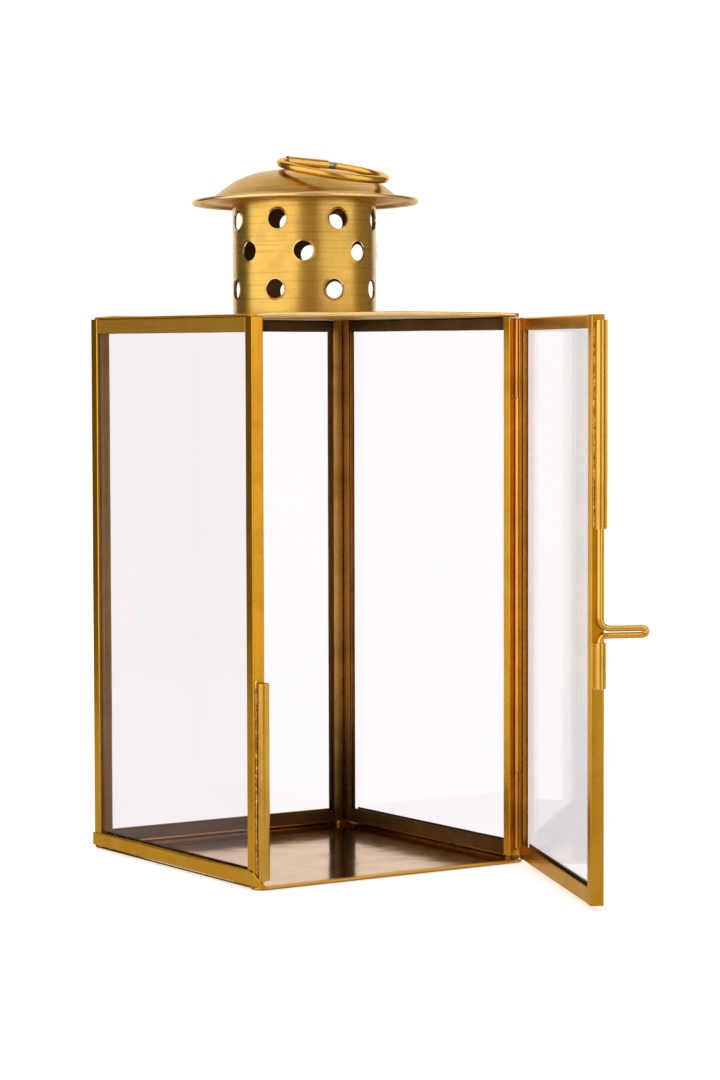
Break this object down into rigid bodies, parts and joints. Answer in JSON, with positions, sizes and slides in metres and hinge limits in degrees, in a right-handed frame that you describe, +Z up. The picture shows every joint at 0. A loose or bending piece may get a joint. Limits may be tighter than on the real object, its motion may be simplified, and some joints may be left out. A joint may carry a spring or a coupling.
{
  "type": "candle lantern",
  "caption": "Square brass and glass candle lantern with a hinged glazed door, a perforated chimney under a domed cap, and a wire carrying ring.",
  "frame": {"origin": "on the underside of the base tray, midway between the side panels and 50.8 mm behind the front posts", "axes": "+Z up, -Y out of the door side, +X to the right seen from the door side, where the door is hinged"},
  "size_m": [0.1037, 0.2012, 0.2302],
  "materials": {
    "brushed_brass": "brushed, lacquered, slightly aged",
    "brass_wire": "drawn wire, polished by handling",
    "plated_solder": "rough soft solder under brass plating",
    "clear_glass": "clear float glass"
  },
  "bodies": {
    "lantern_body": {"base_tray": "brushed_brass", "roof_plate": "brushed_brass", "left_front_stile": "brushed_brass", "left_top_rail": "brushed_brass", "left_bottom_rail": "brushed_brass", "left_glass": "clear_glass", "back_left_stile": "brushed_brass", "back_right_stile": "brushed_brass", "back_top_rail": "brushed_brass", "back_bottom_rail": "brushed_brass", "back_glass": "clear_glass", "right_front_stile": "brushed_brass", "right_rear_stile": "brushed_brass", "right_top_rail": "brushed_brass", "right_bottom_rail": "brushed_brass", "right_glass": "clear_glass", "rear_corner_solder_seam": "plated_solder", "solder_foot_front_left": "plated_solder", "solder_foot_front_right": "plated_solder", "solder_foot_rear_left": "plated_solder", "solder_foot_rear_right": "plated_solder", "chimney_tube": "brushed_brass", "chimney_cap": "brushed_brass", "cap_bracket_front": "brushed_brass", "cap_bracket_left": "brushed_brass", "cap_bracket_right": "brushed_brass", "ring_sleeve": "brushed_brass", "post_knuckle_middle": "brushed_brass", "hinge_pin": "brass_wire", "post_catch_tube": "brushed_brass"},
    "door": {"door_hinge_stile": "brushed_brass", "door_free_stile": "brushed_brass", "door_top_rail": "brushed_brass", "door_bottom_rail": "brushed_brass", "door_glass": "clear_glass", "door_knuckle_top": "brushed_brass", "door_knuckle_bottom": "brushed_brass", "door_edge_sleeve_upper": "brushed_brass", "door_edge_sleeve_lower": "brushed_brass", "door_handle_wire": "brass_wire"},
    "ring": {"carrying_ring": "brass_wire"}
  },
  "joints": [
    {"name": "door_hinge", "type": "hinge", "parent": "lantern_body", "child": "door", "pos_m": [0.0492, -0.0519, 0.09], "axis": [0, 0, 1], "range_deg": [-67, 68]},
    {"name": "ring_swing", "type": "hinge", "parent": "lantern_body", "child": "ring", "pos_m": [0.00124, -0.0005, 0.22803], "axis": [-0.9987, 0, 0.0515], "range_deg": [0, 202]}
  ]
}
